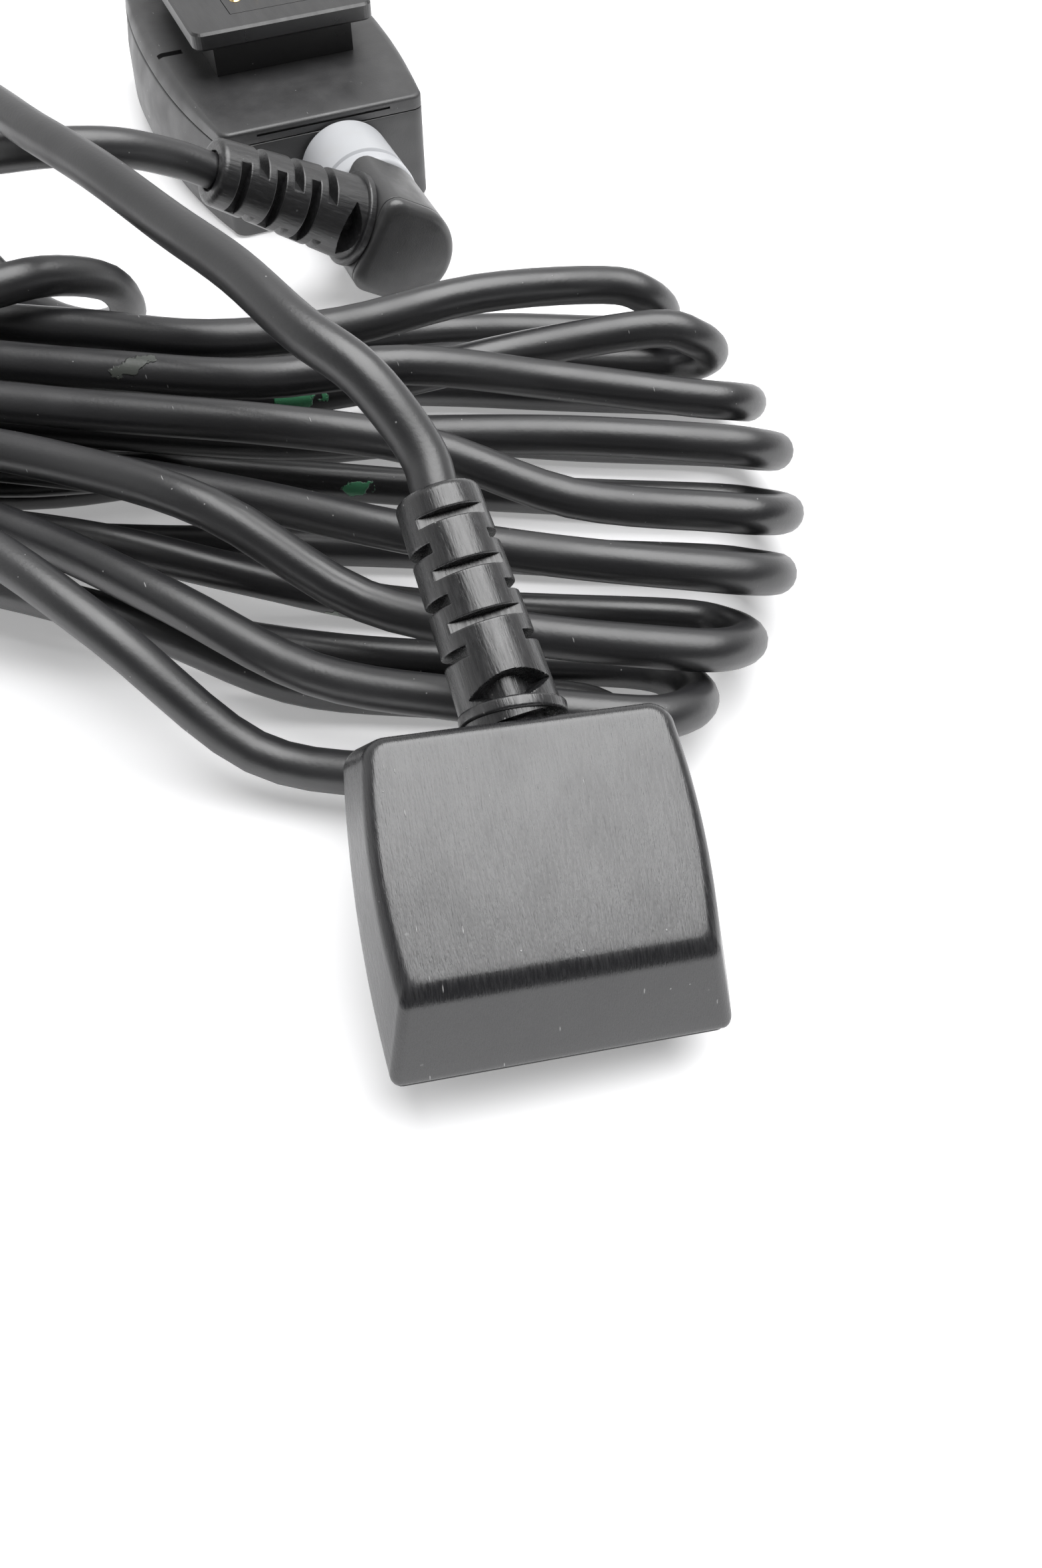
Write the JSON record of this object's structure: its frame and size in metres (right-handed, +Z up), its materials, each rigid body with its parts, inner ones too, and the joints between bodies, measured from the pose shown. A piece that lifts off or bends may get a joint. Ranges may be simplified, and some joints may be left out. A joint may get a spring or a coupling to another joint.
{
  "type": "off-camera flash cord",
  "caption": "Cord that carries flash signals from a camera-shoe head to a remote flash shoe: black cord in a hank, segmented boots, right-angle plug with a pale locking collar.",
  "frame": {"origin": "centre of the tripod bush's mouth in the remote shoe's flat base", "axes": "+Z up from the base; Y along the remote shoe, with its cord socket on the -Y face; X to the shoe's right seen from that face"},
  "size_m": [0.1513, 0.1821, 0.037],
  "materials": {
    "head_plastic": "satin black with a fine streaky grain",
    "dark_plastic": "matte black",
    "black_plastic": "smooth black",
    "steel": "bright spring steel",
    "screw_steel": "zinc-plated cross-head screws",
    "brass": "gold-plated contacts",
    "bush_brass": "turned brass",
    "board": "green circuit board",
    "wire": "coloured core insulation",
    "boot_rubber": "slightly glossy black soft PVC",
    "cord_rubber": "satin black soft PVC",
    "collar_grey": "pale grey locking collar",
    "plated_metal": "nickel-plated shell",
    "insert_plastic": "pale insulating insert"
  },
  "bodies": {
    "cord_set": {"head_cover": "head_plastic", "foot_base": "dark_plastic", "guide_rails": "steel", "contact_block": "black_plastic", "contact_pins": "brass", "terminal_board": "board", "foot_wires": "wire", "cord_clamp": "steel", "lock_spring": "steel", "button_spring": "steel", "foot_screws": "screw_steel", "foot_boot": "boot_rubber", "cord_lead": "cord_rubber", "cord_hank": "cord_rubber", "cord_tail": "cord_rubber", "plug_shell": "plated_metal", "plug_insert": "insert_plastic", "plug_pins": "brass", "plug_body": "dark_plastic", "plug_cap": "dark_plastic", "plug_wires": "wire", "plug_boot": "boot_rubber"},
    "button": {"release_button": "black_plastic"},
    "pin": {"lock_pin": "steel"},
    "collar": {"lock_collar": "collar_grey"},
    "remote_shoe": {"socket_shell": "plated_metal", "socket_insert": "black_plastic", "socket_contacts": "brass", "shoe_body": "dark_plastic", "shoe_top": "head_plastic", "shoe_rail": "black_plastic", "shoe_contact_block": "black_plastic", "shoe_contacts": "brass", "shoe_board": "board", "shoe_wires": "wire", "tripod_bush": "bush_brass", "shoe_screws": "screw_steel", "rail_screws": "screw_steel"}
  },
  "joints": [
    {"name": "release_press", "type": "slide", "parent": "cord_set", "child": "button", "axis": [-0.9784, 0.1968, 0.0637], "range_m": [0, 0.0008], "stiffness_N_per_m": 400, "deforming": ["button_spring"]},
    {"name": "pin_lift", "type": "slide", "parent": "cord_set", "child": "pin", "axis": [-0.0233, -0.411, 0.9113], "range_m": [0, 0.0008], "deforming": ["lock_spring"]},
    {"name": "collar_turn", "type": "hinge", "parent": "cord_set", "child": "collar", "pos_m": [0.002, -0.032, 0.007], "axis": [0, -1, 0], "range_deg": [0, 60]},
    {"name": "shoe_unplug", "type": "slide", "parent": "cord_set", "child": "remote_shoe", "axis": [0, 1, 0], "range_m": [0, 0.012]}
  ],
  "couplings": [
    {"joint": "pin_lift", "follows": "release_press", "ratio": 1}
  ]
}
